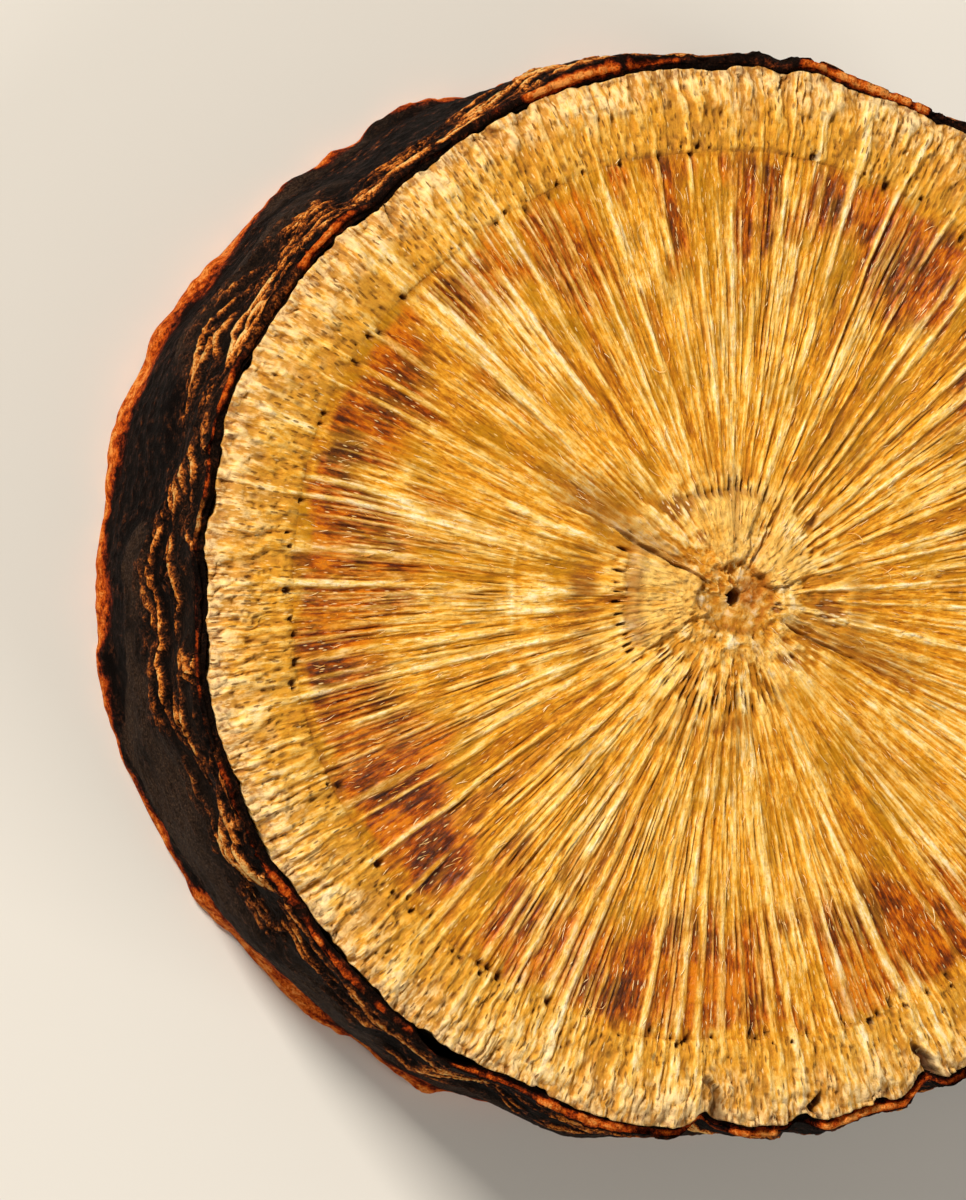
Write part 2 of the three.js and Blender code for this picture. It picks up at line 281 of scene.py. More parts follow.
def grain_of_face(turn, reach):
    """Height of the cut above its level, and how much of each tissue there is, over a grid of the face."""
    radius = radius_at(turn, reach)
    x, y = radius * np.cos(turn * TURN), radius * np.sin(turn * TURN)

    def on_grid(size, seed):
        """Places of the face on a square grid with cells so large, turned by its seed."""
        u = (x * np.cos(seed) - y * np.sin(seed)) / size + CELLS / 2
        return u, (x * np.sin(seed) + y * np.cos(seed)) / size

    def crumbs(size, seed):
        u, v = on_grid(size, seed)
        return lumps(u / CELLS, v, CELLS, seed)

    def holes(size, seed, share):
        u, v = on_grid(size, seed)
        return spots(u, v, CELLS, seed, share, wide=0.42, long=0.3)

    bast = step(CAMBIUM - 0.004, CAMBIUM + 0.014, reach)
    torn_rim = 0.03 * lumps(turn, reach * 22, 90, 45) + 0.03 * lumps(turn, reach * 44, 310, 44)
    fluff = step(0.88, 1.0, reach + torn_rim)
    bundle = strands(turn, reach, 58, 3.2, 55)
    strand = strands(turn, reach, 330, 9, 51)
    hair = strands(turn, reach, 690, 16, 53)

    # The rays. They lie close together in some sectors and leave glassy wood bare in others.
    main = rays(turn, reach, RAYS, 7, jitter=0.7, half_width=0.074, start=0.12, spread=0.08)
    second = rays(turn, reach, 3 * RAYS, 31, jitter=0.9, half_width=0.034, start=0.16, spread=0.3)
    second = second * step(-0.8, 0.0, bundle)
    third = rays(turn, reach, 7 * RAYS, 41, jitter=0.9, half_width=0.019, start=0.22, spread=0.3)
    third = third * step(-0.5, 0.3, bundle + 0.4 * strand)
    ray = np.maximum.reduce([main, 0.9 * second, 0.7 * third])
    ray = ray * (1 - 0.35 * step(0.1, 0.7, hair))
    ripple = turn + 0.0011 * lumps(turn, reach * 34, 210, 113)
    worm = bast * step(-0.15, 0.55, strands(ripple, reach, 400, 17, 114))
    ray = np.maximum(ray, (0.35 + 0.5 * step(0.86, 0.97, reach)) * worm)
    up_down = 0.4 * lumps(turn, reach * 30, 170, 117)
    blob = 0.7 * np.abs(lumps(ripple, reach * 31 + up_down, 290, 99))
    blob = blob + 0.3 * np.abs(lumps(ripple, reach * 84 + 2 * up_down, 640, 118))
    gaps = fluff * (1 - step(0.05, 0.22, blob))

    # Amber wood fills blocks of the outer part of the wood, and brown streaks lie further in.
    block = strands(turn, reach, 150, 7, 63)
    inner = 0.66 + 0.07 * lumps(turn, 0, 40, 61) + 0.05 * block
    outer = CAMBIUM - 0.018 + 0.018 * block + 0.010 * strand
    amber = step(inner - 0.04, inner + 0.03, reach) * (1 - step(outer - 0.008, outer + 0.006, reach))
    amber = amber * step(-0.38, -0.20, lumps(turn, reach * 4, 46, 65) + 0.45 * block + 0.15 * strand)
    streak = step(0.25, 0.6, strands(turn, reach, 210, 8, 67)) * step(0.26, 0.36, reach) * (1 - bast)
    amber = np.maximum(amber, 0.6 * streak * (0.4 + 0.6 * step(0.4, 0.62, reach)))
    amber = amber * (1 - 0.9 * main) * (1 - 0.75 * np.maximum(second, third))
    grained = step(0.10, 0.18, reach)
    tone = 0.5 + grained * (0.42 * strands(turn, reach, 120, 5, 66) + 0.22 * strand + 0.15 * bundle)
    tone = tone + 0.5 * (1 - grained) * crumbs(0.26, 115)

    # Growth lines. They show on the left of the pith more than elsewhere.
    left = hump(degrees_apart(turn, 180), 44)
    under = hump(degrees_apart(turn, 262), 56)
    above = hump(degrees_apart(turn, 88), 40)
    right = hump(degrees_apart(turn, 350), 34)
    line = reach - 0.006 * lumps(turn, 0, 30, 71) - 0.003 * lumps(turn, 1, 120, 72)
    stain = 1.3 * hump(line - 0.292, 0.044) * np.maximum(left, 0.35 * under)
    stain = np.maximum(stain, hump(line - 0.245, 0.038) * np.maximum(under, 0.9 * right))
    thin_lines = 0.9 * hump(line - 0.196, 0.012) * above + 0.8 * hump(line - 0.235, 0.010) * above
    stain = np.maximum(stain, thin_lines)
    stain = stain * step(-0.6, 0.3, strand + 0.4 * hair + 0.3 * bundle)
    pale = 0.7 * step(0.34, 0.37, line) * (1 - step(0.40, 0.42, line)) * left
    pale = 1.6 * hump(line - 0.432, 0.009) * left + pale
    seam = hump(line - CAMBIUM, 0.005) * step(-0.1, 0.4, lumps(turn, 2, 40, 76))

    # The dried middle is torn into flakes, and stayed firm only in a few plates.
    plate, plate_foot, plate_edge_shadow = np.zeros(ray.shape), np.zeros(ray.shape), np.zeros(ray.shape)
    for toward, half, end, sharp in PLATES:
        frayed = 2.5 * lumps(turn, reach * 40, 60, 47) + 1.5 * lumps(turn, reach * 90, 90, 49)
        side = 1 - step(half - 1.5, half + 0.5, np.abs(degrees_apart(turn, toward)) + frayed)
        end = end + 0.004 * lumps(turn, 0, 60, 48)
        fade = 0.002 + 0.03 * (1 - sharp)
        plate = np.maximum(plate, side * step(0.045, 0.06, reach) * (1 - step(end - fade, end + fade, reach)))
        # Brown at a plate's foot and in a band just inside its end is painted shadow of the plate's raised,
        # broken-off edge.
        plate_foot = np.maximum(plate_foot, side * hump(reach - end - 0.007, 0.012) * sharp)
        plate_edge_shadow = np.maximum(plate_edge_shadow, side * hump(reach - end + 0.006, 0.028) * (sharp == 1.0))
    heart = 1 - step(*HEART, reach + 0.03 * lumps(turn, 1, 14, 46))
    meal = 1 - step(*MEAL, reach + 0.02 * lumps(turn, 0, 9, 101))
    brim = 0.060 + 0.014 * lumps(turn, 0, 5, 102) + 0.010 * lumps(turn, 0, 14, 103)
    brim = reach / (brim + 0.005 * lumps(turn, 0, 33, 123))
    crater = 1 - step(0.95, 1.03, brim)
    plate = plate * (1 - crater)
    # crater_edge: the crater's wall, painted browner and less pale further on as painted shade.
    crater_edge = hump(brim - 0.98, 0.20) * (0.8 + 0.2 * hump(degrees_apart(turn, 25), 70))
    from_stain = np.hypot(x - RESIN_AT[0], y - RESIN_AT[1]) / RESIN_SIZE
    ooze = step(1.0, 0.0, from_stain + 0.35 * crumbs(0.24, 122))
    crumb = crumbs(0.14, 92)
    long_flake = 0.75 * strands(turn, reach, 72, 13, 94) + 0.6 * strands(turn, reach, 170, 22, 95)
    flake = long_flake * step(0.09, 0.17, reach) + crumbs(0.3, 91) * meal
    torn = step(-0.24, 0.02, flake + 0.25 * crumb)
    bare = heart * (1 - torn) * (1 - 0.85 * plate) * (1 - 0.6 * meal)
    curly = meal * (1 - step(0.06, 0.22, np.abs(crumbs(0.17, 104) + 0.3 * crumb)))
    curly = curly * step(0.0, 0.5, crumbs(0.5, 105) + 0.15)
    fluffed = crater * step(0.0, 0.6, hump(degrees_apart(turn, 125), 85))
    curl = 1 - step(0.0, 0.4, np.abs(crumbs(0.13, 111) + 0.25 * crumbs(0.06, 121)))
    rib = strands(turn, reach, 44, 5, 106) * hump(degrees_apart(turn, 97), 30)
    rib = rib * step(0.06, 0.1, reach) * heart
    tear = np.zeros(ray.shape)
    for toward, at, half, wide in TEARS:
        gap = np.hypot((reach - at) / half, degrees_apart(turn, toward) / wide)
        tear = np.maximum(tear, 1 - step(0.55, 1.0, gap + 0.3 * flake + 0.12 * crumb))
    shred = step(0.1, 0.7, tear) * step(0.0, 0.25, strands(turn, reach, 290, 26, 107) + 0.3 * crumb)

    # Pores: round ones along the cambium, radial slits in the wood and the bast, holes in the mealy middle.
    pore = np.zeros(ray.shape)
    for count, at, size, seed, share in PORE_ROWS:
        i = np.floor(turn * count)
        by_pith = at < 0.5
        there = (draw(i, 0, seed) < share) * (np.maximum(step(0.1, 0.3, left), 0.3 * under) if by_pith else 1)
        along = radius - radius_at(turn, at + (0.006 if by_pith else 0.026) * (draw(i, 1, seed) - 0.5))
        across = (turn - (i + 0.3 + 0.4 * draw(i, 3, seed)) / count) * TURN * radius
        wide = size * (0.55 + 0.7 * draw(i, 2, seed) ** 1.5)
        far = np.hypot(along / wide / (1.7 if by_pith else 1.0), across / wide / (0.5 if by_pith else 1.0))
        pore = np.maximum(pore, there * (1 - step(0.6, 1.1, far)))

    def slits(cells, along, seed, share, wide, long):
        return spots(turn * cells, reach * along, cells, seed, share, wide, long)

    slit = 0.9 * slits(330, 50, 77, share=0.28, wide=0.2, long=0.34) * bast * (1 - 0.6 * fluff)
    slit = np.maximum(slit, 0.8 * slits(430, 90, 177, share=0.13, wide=0.3, long=0.32) * bast)
    slit = np.maximum(slit, 0.75 * slits(420, 15, 79, share=0.3, wide=0.2, long=0.42) * (1 - bast))
    slit = slit * (1 - 0.85 * main) * step(0.24, 0.3, reach)
    hole = np.maximum(holes(0.14, 81, share=0.25), 0.8 * holes(0.08, 82, share=0.35))
    hole = hole * (1 - step(0.16, 0.24, reach)) * (1 - crater)
    arc = np.maximum(under * hump(reach - 0.195, 0.045), above * hump(reach - 0.208, 0.03))
    arc_slit = slits(104, 22, 108, share=0.8, wide=0.26, long=0.36) * step(0.05, 0.4, arc)
    crack = cracked(turn, reach, radius)
    drop = ledges(turn, reach)
    brink = 0.0155 + 0.006 * lumps(turn, 0, 4, 87) + 0.004 * lumps(turn, 0, 11, 88)
    pit = 1 - step(0.6, 1.0, reach / brink + 0.3 * crumbs(0.1, 90))

    # What stands up and what has sunk, and then what the shader mixes the colours from.
    wood_drop = 0.03 * step(0.35, 0.42, reach) * (1 - bast)
    height = RAY_RISE * step(0.12, 0.3, reach) * (2 * ray - 0.9) + grained * (0.016 * strand + 0.014 * hair)
    height += WAVE * lumps(turn, reach * 4, 9, 13) - AMBER_DROP * amber - wood_drop
    height += heart * (0.05 * torn + 0.014 * crumb + 0.012 * crumbs(0.08, 93)) * (1 - 0.6 * plate)
    height += 0.006 * plate * (crumb + crumbs(0.08, 93)) + 0.03 * rib
    height += meal * (0.02 * crumbs(0.2, 109) + 0.02 * crumbs(0.11, 110)) - 0.04 * curly
    height -= crater * (0.05 + 0.07 * hump(degrees_apart(turn, 30), 110))
    height += fluffed * (0.05 + 0.07 * curl) - 0.05 * tear + 0.06 * shred
    height += bast * (0.025 * lumps(turn, reach * 44, 280, 97) + 0.02 * lumps(turn, reach * 90, 640, 98))
    height += FLUFF_RISE * fluff * step(0.02, 0.42, blob) + 0.03 * worm
    height += PLATE_RISE * plate - 0.05 * plate_foot + 0.02 * pale - 0.02 * seam - drop
    openings = PORE_DEPTH * pore + SLIT_DEPTH * slit + 0.07 * arc_slit + 0.04 * hole + crack
    height -= openings + PITH_DEPTH * pit
    height -= EDGE_DROP * step(0.93, 1.02, reach)
    ray = np.maximum(ray, heart * torn * (0.75 + 0.25 * crumb))
    ray = np.maximum(ray, meal * (0.62 + 0.3 * crumb) * (1 - curly)) * (1 - 0.6 * crater_edge)
    ray = ray + fluffed * (0.9 * curl - 0.3)
    ray = ray * (1 - 0.5 * stain) * (1 - 0.7 * tear) + 0.45 * pale - 0.5 * seam - 0.4 * bare + shred
    # gash and dark paint the insides of cracks, pores, slits, holes and the pith hole dark, as painted shade
    # in these openings.
    gash = crack * (1.9 + 1.5 * step(0.90, 0.95, reach))
    dark = np.clip(np.maximum.reduce([pore, 0.7 * slit, 0.75 * arc_slit, 0.4 * hole, gash, pit]), 0, 1)
    plate_edge_shadow = plate_edge_shadow * (0.6 + 0.4 * step(-0.4, 0.4, strand + hair))
    # Brown is partly painted shade: on the side of a crack that slid down (drop), below and inside a plate's
    # broken-off end, on the crater's wall (crater_edge) and in the cracks.
    brown = np.maximum.reduce([
        0.55 * bare, stain, 0.6 * seam, 0.95 * plate_foot, 4.5 * drop, 0.75 * curly, plate_edge_shadow,
        0.5 * fluffed * (1 - curl), tear - shred, 0.5 * step(0.2, 0.6, -rib), 0.35 * crater * (1 - fluffed),
        0.8 * gaps, 0.9 * crater_edge, 4 * crack,
    ])
    edge_grey = step(0.968, 0.992, reach + 0.4 * torn_rim)
    tissue = {
        "reach": reach + np.zeros(ray.shape),
        "ray": np.clip(ray, 0, 1),
        "amber": np.clip(amber, 0, 1),
        "brown": np.clip(brown, 0, 1),
        "dark": dark,
        "fluff": fluff - gaps,
        "tone": np.clip(tone, 0, 1),
        "resin": ooze,
        "firm": plate,
        "grey": np.clip(np.maximum(0.9 * edge_grey, 0.45 * (tear - shred)), 0, 1),
    }
    return height, tissue


def join_rings(sizes, closed):
    """Faces from ring to ring of a skin. A ring has as many points as the one beside it, twice or half."""
    starts = np.concatenate([[0], np.cumsum(sizes)])
    faces = []
    for k in range(len(sizes) if closed else len(sizes) - 1):
        after = (k + 1) % len(sizes)
        few, many = sorted((sizes[k], sizes[after]))
        assert many in (few, 2 * few)
        i = np.arange(few)
        if few == many:
            a, b = starts[k] + i, starts[after] + i
            c, d = starts[after] + (i + 1) % few, starts[k] + (i + 1) % few
            faces.append(np.stack([a, b, c, d], 1))
            continue
        near, far = (k, after) if sizes[k] == few else (after, k)
        a, d = starts[near] + i, starts[near] + (i + 1) % few
        b, m, c = (starts[far] + (2 * i + n) % many for n in range(3))
        three = [np.stack(t, 1) for t in ((a, b, m), (a, m, d), (d, m, c))]
        faces += three if near == k else [t[:, ::-1] for t in three]
    return faces


def into_scene(name, data):
    """A new object in the scene: a mesh, a lamp or a camera."""
    made = bpy.data.objects.new(name, data)
    bpy.context.scene.collection.objects.link(made)
    return made


def skin(name, rings, ends=(), rims=()):
    """One closed mesh from rings of points (x, y, z and tissue), with a point at each end where there is one.
    A rim is a ring where two faces meet at a sharp edge."""
    sizes = [len(ring[0]) for ring in rings]
    places = np.concatenate([ring[0] for ring in rings] + [np.array([e]) for e in ends])
    faces = [f.tolist() for f in join_rings(sizes, not ends)]
    faces = [face for block in faces for face in block]
    if ends:
        first, last, n = sum(sizes), sum(sizes) + 1, sum(sizes) - sizes[-1]
        faces += [(first, i, (i + 1) % sizes[0]) for i in range(sizes[0])]
        faces += [(last, n + (i + 1) % sizes[-1], n + i) for i in range(sizes[-1])]
    mesh = bpy.data.meshes.new(name)
    mesh.from_pydata((places * MM).tolist(), [], faces)
    mesh.polygons.foreach_set("use_smooth", np.ones(len(mesh.polygons), bool))
    pairs = np.empty(2 * len(mesh.edges), int)
    mesh.edges.foreach_get("vertices", pairs)
    pairs = pairs.reshape(-1, 2)
    sharp = np.zeros(len(pairs), bool)
    for rim in rims:
        start = sum(sizes[:rim])
        sharp |= ((pairs >= start) & (pairs < start + sizes[rim])).all(1)
    mesh.attributes.new("sharp_edge", "BOOLEAN", "EDGE").data.foreach_set("value", sharp)
    for key in rings[0][1]:
        layer = mesh.attributes.new(key, "FLOAT", "POINT")
        values = np.concatenate([ring[1][key] for ring in rings] + [np.zeros(len(ends))])
        layer.data.foreach_set("value", values.astype(np.float32))
    mesh.update()
    return into_scene(name, mesh)


def upper_rings(columns, reaches):
    """Rings of the upper cut, with so many points each."""
    turn = (np.arange(columns) + 0.5) / columns
    turn, reach = turn[None, :], np.array(reaches)[:, None]
    height, tissue = grain_of_face(turn, reach)
    way, radius = bent(turn, reach), radius_at(bent(turn, reach), reach)
    places = np.stack([*from_pith(radius, way), TOP + height], 2)
    return [(places[k], {key: value[k] for key, value in tissue.items()}) for k in range(len(reaches))]


def lower_rings(columns, reaches):
    """Rings of the lower cut, which lies on a flat land near the bark."""
    turn = (np.arange(columns) + 0.5) / columns
    turn, reach = turn[None, :], np.array(reaches)[:, None]
    height, tissue = grain_of_face(1 - turn, reach)
    way = bent(turn, reach)
    radius = reach * (around(evened(LOWER_REACH, spread=4.0), way) - CORK)
    clear = CLEARANCE - 0.8 * np.clip(height, -0.5, 0.15)
    land = step(LAND[0], 0.87, reach) * (1 - step(0.95, LAND[1], reach))
    level = np.maximum(clear, 0.02) * (1 - land)
    places = np.stack([*from_pith(radius, way), level], 2)
    return [(places[k], {key: value[k] for key, value in tissue.items()}) for k in range(len(reaches))]


def wall_ring(ring, columns, inward, level):
    """A hidden ring under the rim of a face, so far inward from it."""
    places, tissue = ring
    pick = np.arange(columns) * len(places) // columns
    out = places[pick, :2] - PITH[:2]
    out = out * (1 - inward / np.hypot(out[:, 0], out[:, 1]))[:, None] + PITH[:2]
    out = np.column_stack([out, np.full(columns, level)])
    return out, {key: value[pick] for key, value in tissue.items()}


COLUMNS = 1536  # points of a ring near the cambium
UNDER_RIM = 5.2  # levels of the hidden rings
OVER_SOLE = 0.6
top = upper_rings(COLUMNS // 8, np.arange(0.008, 0.04, 0.0032))
top += upper_rings(COLUMNS // 4, np.arange(0.042, 0.1, 0.0044))
top += upper_rings(COLUMNS // 2, np.arange(0.1035, 0.42, 0.0076))
top += upper_rings(COLUMNS, np.linspace(0.425, CAMBIUM, 34))
bottom = lower_rings(COLUMNS // 4, np.linspace(CAMBIUM, 0.12, 12))
bottom += lower_rings(COLUMNS // 8, [0.09, 0.06, 0.03])
side = [
    wall_ring(top[-1], COLUMNS // 2, inward=0.0, level=UNDER_RIM),
    wall_ring(bottom[0], COLUMNS // 4, inward=0.0, level=OVER_SOLE),
]
ends = [PITH + (0, 0, TOP - PITH_DEPTH - 0.05), PITH + (0, 0, OVER_SOLE)]
wood = skin("wood", top + side + bottom, ends, rims=[len(top) - 1, len(top) + len(side)])
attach(wood, "root")
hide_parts("root_slice")


def paint(red, green, blue):
    """A colour as a painter picks it from a card, for a shader."""
    card = np.array([red, green, blue]) / 255
    return (*np.where(card <= 0.04045, card / 12.92, ((card + 0.055) / 1.055) ** 2.4), 1.0)


class Recipe:
    """A material that is mixed node by node."""

    def __init__(self, name):
        self.material = bpy.data.materials.new(name)
        self.material.use_nodes = True
        self.tree = self.material.node_tree
        self.shader = self.tree.nodes["Principled BSDF"]

    def put(self, socket, value):
        """Link what another node gives, or set a plain value on the socket itself."""
        if isinstance(value, bpy.types.NodeSocket):
            self.tree.links.new(value, socket)
        else:
            socket.default_value = value

    def node(self, kind, inputs=(), out=0, **settings):
        made = self.tree.nodes.new("ShaderNode" + kind)
        for key, value in settings.items():
            setattr(made, key, value)
        for key, value in dict(inputs).items():
            self.put(made.inputs[key], value)
        return made.outputs[out]

    def tissue(self, name):
        return self.node("Attribute", attribute_name=name, out=2)

    def math(self, operation, a, b, clamp=False):
        return self.node("Math", {0: a, 1: b}, operation=operation, use_clamp=clamp)

    def times(self, a, b):
        return self.math("MULTIPLY", a, b)

    def plus(self, a, b):
        return self.math("ADD", a, b)

    def vector(self, operation, a, b=(0, 0, 0), out=0):
        return self.node("VectorMath", {0: a, 1: b}, out, operation=operation)

    def noise(self, place, scale, detail, rough=0.55):
        wanted = {"Vector": place, "Scale": scale, "Detail": detail, "Roughness": rough}
        return self.node("TexNoise", wanted)

    def spread(self, value, low, high, to_low=0.0, to_high=1.0):
        """A value between low and high, spread over another range and kept inside it."""
        wanted = {"Value": value, "From Min": low, "From Max": high, "To Min": to_low, "To Max": to_high}
        return self.node("MapRange", wanted)

    def mix(self, share, a, b):
        made = self.tree.nodes.new("ShaderNodeMix")
        made.data_type = "RGBA"
        for key, value in ((0, share), (6, a), (7, b)):
            self.put(made.inputs[key], value)
        return made.outputs[2]

    def ramp(self, value, stops):
        made = self.tree.nodes.new("ShaderNodeValToRGB")
        self.put(made.inputs[0], value)
        marks = made.color_ramp.elements
        while len(marks) < len(stops):
            marks.new(0.5)
        for mark, (place, colour) in zip(marks, stops):
            mark.position, mark.color = place, colour
        return made.outputs[0]

    def specks(self, place, share, wide):
        """Separate marks, 1 inside a mark. So large a share of the cells has one, and it is so wide."""
        cell = self.tree.nodes.new("ShaderNodeTexVoronoi")
        self.put(cell.inputs["Vector"], place)
        self.put(cell.inputs["Scale"], 1.0)
        there = self.math("LESS_THAN", self.node("SeparateColor", {0: cell.outputs["Color"]}), share)
        return self.times(there, self.spread(cell.outputs["Distance"], wide, 0.6 * wide))

    def out_from_pith(self, fine, along):
        """Places for noise that is drawn out along the grain, so fine round the pith and so fine outwards."""
        place = self.vector("SUBTRACT", self.node("TexCoord", out=3), tuple(PITH * MM))
        flat = self.vector("MULTIPLY", place, (1, 1, 0))
        way = self.vector("NORMALIZE", flat)
        way = self.node("VectorMath", {0: way, "Scale": fine}, operation="SCALE")
        far = self.times(self.vector("LENGTH", flat, out=1), along / MM)
        return self.vector("ADD", way, self.node("CombineXYZ", {2: far}))

    def finish(self, piece, colour, roughness, height, depth):
        self.put(self.shader.inputs["Base Color"], colour)
        self.put(self.shader.inputs["Roughness"], roughness)
        relief = {"Height": height, "Distance": depth * MM, "Strength": 1.0}
        self.put(self.shader.inputs["Normal"], self.node("Bump", relief))
        piece.data.materials.append(self.material)


grain = Recipe("cut_grain")
ray, amber, dark = grain.tissue("ray"), grain.tissue("amber"), grain.tissue("dark")
reach, brown, tone = grain.tissue("reach"), grain.tissue("brown"), grain.tissue("tone")
body = grain.node("TexCoord", out=3)
mealy = grain.noise(body, 8 / MM, 3.0, 0.62)
blotch = grain.noise(body, 0.8 / MM, 2.0, 0.55)
near = grain.spread(grain.noise(grain.out_from_pith(22, 4.5), 1.0, 3.0, 0.65), 0.0, 1.0, 0.19, 0.84)
middle = grain.noise(grain.out_from_pith(54, 3.2), 1.0, 3.0, 0.65)
outer = grain.noise(grain.out_from_pith(112, 2.8), 1.0, 3.0, 0.65)
fibre = grain.spread(reach, 0.08, 0.16, mealy, near)
fibre = grain.spread(reach, 0.36, 0.60, grain.spread(reach, 0.15, 0.30, fibre, middle), outer)
value = grain.times(grain.spread(fibre, 0.38, 0.62), 0.34)
value = grain.plus(value, grain.times(ray, 0.40))
value = grain.plus(value, grain.times(tone, 0.30))
value = grain.spread(grain.times(grain.tissue("firm"), 0.55), 0.0, 1.0, value, 0.62)
colour = grain.ramp(value, [
    (0.02, paint(146, 74, 2)), (0.20, paint(194, 118, 8)), (0.42, paint(230, 158, 34)),
    (0.66, paint(251, 205, 108)), (0.92, paint(255, 238, 190)),
])
glassy = grain.math("SUBTRACT", 1.0, ray, clamp=True)
in_bast = grain.spread(reach, CAMBIUM - 0.004, CAMBIUM + 0.012)
olive = grain.times(grain.spread(blotch, 0.48, 0.64, 0.0, 0.75), glassy)
olive = grain.times(olive, grain.spread(in_bast, 0.0, 1.0, 1.0, 0.45))
colour = grain.mix(olive, colour, paint(172, 116, 0))
ember = grain.plus(grain.times(fibre, 0.5), grain.times(blotch, 0.5))
resin_tone = grain.ramp(ember, [
    (0.38, paint(54, 20, 10)), (0.45, paint(104, 38, 6)),
    (0.51, paint(166, 70, 4)), (0.58, paint(212, 118, 12)),
])
colour = grain.mix(grain.spread(reach, 0.06, 0.22, 0.20, 0.0), colour, paint(204, 116, 32))
colour = grain.mix(grain.times(amber, 0.95), colour, resin_tone)
# Brown holds stains and growth lines, and also painted shade at ledges, plate ends, the crater's wall and
# cracks.
colour = grain.mix(grain.times(brown, 0.72), colour, paint(128, 70, 20))
stained = grain.times(grain.tissue("resin"), grain.spread(mealy, 0.38, 0.62, 0.95, 0.55))
colour = grain.mix(stained, colour, paint(158, 84, 8))
soft = grain.times(in_bast, grain.spread(ray, 0.0, 0.8, 0.6, 0.1))
colour = grain.mix(soft, colour, paint(198, 142, 46))
net = grain.plus(grain.times(ray, 0.35), grain.spread(outer, 0.40, 0.58, 0.0, 0.65))
fluffy = grain.times(grain.tissue("fluff"), grain.spread(net, 0.25, 0.70, 0.10, 0.95))
colour = grain.mix(fluffy, colour, paint(246, 210, 146))
greyed = grain.times(grain.tissue("grey"), grain.spread(mealy, 0.34, 0.62, 0.7, 0.1))
colour = grain.mix(greyed, colour, paint(142, 94, 54))
white_shred = grain.specks(grain.out_from_pith(46, 5.0), 0.5, 0.36)
white_shred = grain.times(white_shred, grain.spread(grain.tissue("grey"), 0.05, 0.3))
white_shred = grain.times(white_shred, grain.spread(reach, 0.4, 0.5, 0.85, 0.0))
colour = grain.mix(white_shred, colour, paint(255, 232, 190))
colour = grain.mix(grain.spread(mealy, 0.36, 0.46, 0.30, 0.0), colour, paint(146, 80, 14))
thin_streak = grain.specks(grain.out_from_pith(90, 2.6), 0.5, 0.36)
thin_streak = grain.times(thin_streak, grain.spread(reach, 0.24, 0.32, 0.0, 0.5))
thin_streak = grain.times(thin_streak, grain.spread(ray, 0.2, 0.9, 1.0, 0.3))
colour = grain.mix(thin_streak, colour, paint(116, 62, 6))
# Clefts: short slits in the bast, sunk in the bump and painted darker as painted shade.
cleft = grain.specks(grain.out_from_pith(150, 3.4), 0.34, 0.34)
cleft = grain.times(cleft, in_bast)
colour = grain.mix(grain.times(cleft, 0.75), colour, paint(122, 70, 14))
# The dark openings: painted shade inside pores, slits, holes, cracks and the pith hole.
colour = grain.mix(grain.times(dark, 0.92), colour, paint(70, 29, 7))
# Glints: short pale marks on the glassy wood away from the middle, a painted highlight.
painted_glint = grain.specks(grain.out_from_pith(170, 4.5), 0.24, 0.30)
painted_glint = grain.times(painted_glint, grain.spread(reach, 0.25, 0.5, 0.0, 0.7))
colour = grain.mix(grain.times(painted_glint, glassy), colour, paint(252, 218, 150))
gloss = grain.spread(grain.math("MAXIMUM", amber, grain.times(olive, 0.8)), 0.0, 1.0, 0.72, 0.36)
relief = grain.plus(grain.times(fibre, 0.8), grain.times(mealy, 0.5))
relief = grain.math("SUBTRACT", relief, grain.times(cleft, 0.4))
grain.put(grain.shader.inputs["Specular IOR Level"], 0.18)
grain.finish(wood, colour, gloss, relief, 0.05)

# The bast
# Round the wood grows a ring of soft inner bark, paler and full of slits. Its outermost cells tore when the
# slice was sawn, and dried to a cream fluff. It is one with the wood.
TUCK = 0.06  # how far its hidden inner side goes in under the rim of the wood
BAST_COLUMNS = 2304
BAST_SOLE = 0.7  # level of its hidden rings over the lower cut
top = upper_rings(BAST_COLUMNS, np.linspace(CAMBIUM, 1.001, 38))
bottom = lower_rings(BAST_COLUMNS // 4, np.linspace(0.99, CAMBIUM, 11))
side = [
    wall_ring(top[-1], BAST_COLUMNS // 2, inward=0.16, level=5.3),
    wall_ring(bottom[0], BAST_COLUMNS // 4, inward=0.25, level=BAST_SOLE),
]
back = [
    wall_ring(bottom[-1], BAST_COLUMNS // 4, inward=TUCK, level=BAST_SOLE),
    wall_ring(top[0], BAST_COLUMNS // 2, inward=TUCK, level=UNDER_RIM),
]
bast = skin("bast", top + side + bottom + back, rims=[0])
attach(bast, "root")
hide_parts("root_slice")
bast.data.materials.append(grain.material)

# The bark
# A thin skin of dead cork, wrinkled across and along as the root dried. It is nearly black, and rust orange
# where a crest is rubbed and where the saw went through it. Its crests are also painted lighter, up to a pale
# painted highlight, and its furrows near black as painted shade. It has split off the bast over a short
# stretch.
PEEL_TOWARD, PEEL_HALF, PEEL_GAP = 236, 6, 0.22  # degrees, degrees and millimetres
WALL_RADIUS = 11.7
BARK_COLUMNS = 1152
BARK_TURNS = (np.arange(BARK_COLUMNS) + 0.5) / BARK_COLUMNS
BARK_LEVELS = np.concatenate([np.linspace(5.72, 3.3, 41), np.linspace(3.2, 0.3, 26)])
HEIGHTS = np.linspace(5.7, 0.3, 16)  # levels at which the outline of the slice is felt
SURVEY = np.array([reach_of_solid(SPOTS, h) for h in HEIGHTS])


def swell(turn, level, fine, up, seed):
    """Smooth noise about 0 on the bark, so fine round it and with so many lumps in a millimetre upwards."""
    way = turn * TURN
    places = np.stack(np.broadcast_arrays(fine * np.cos(way), fine * np.sin(way), level * up + seed), -1)
    return np.reshape([noise.noise(place) for place in places.reshape(-1, 3).tolist()], places.shape[:2])


def crests(field, half):
    """Thin crests where a field of noise changes sign, 1 on top. They are equally wide everywhere."""
    upwards, sideways = np.gradient(field, BARK_LEVELS, BARK_TURNS * TURN * WALL_RADIUS)
    return np.clip(1 - np.abs(field) / np.hypot(2 * upwards, sideways) / half, 0, 1)


